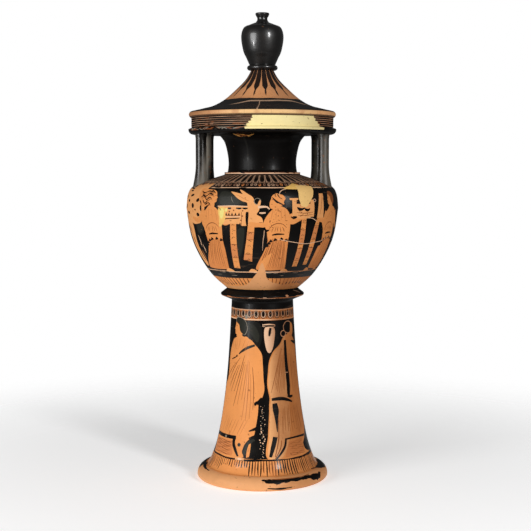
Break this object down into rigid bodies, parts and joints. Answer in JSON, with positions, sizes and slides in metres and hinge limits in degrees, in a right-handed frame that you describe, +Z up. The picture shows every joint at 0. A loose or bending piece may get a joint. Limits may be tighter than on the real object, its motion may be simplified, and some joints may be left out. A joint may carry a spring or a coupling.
{
  "type": "lebes gamikos",
  "caption": "Lidded clay wedding bowl on a tall flaring stand, with paired upright handles on its shoulder and a vase-shaped knob on its conical lid.",
  "frame": {"origin": "centre of the foot, on the surface that it stands on", "axes": "+Z up along the turning axis; +X and -X towards the two handles; the painted front faces -Y"},
  "size_m": [0.1948, 0.1938, 0.5975],
  "materials": {
    "painted_clay": "orange clay painted with glossy black slip",
    "lid_clay": "orange clay painted with glossy black slip"
  },
  "bodies": {
    "root": {"vessel": "painted_clay", "lid": "lid_clay"}
  },
  "joints": []
}
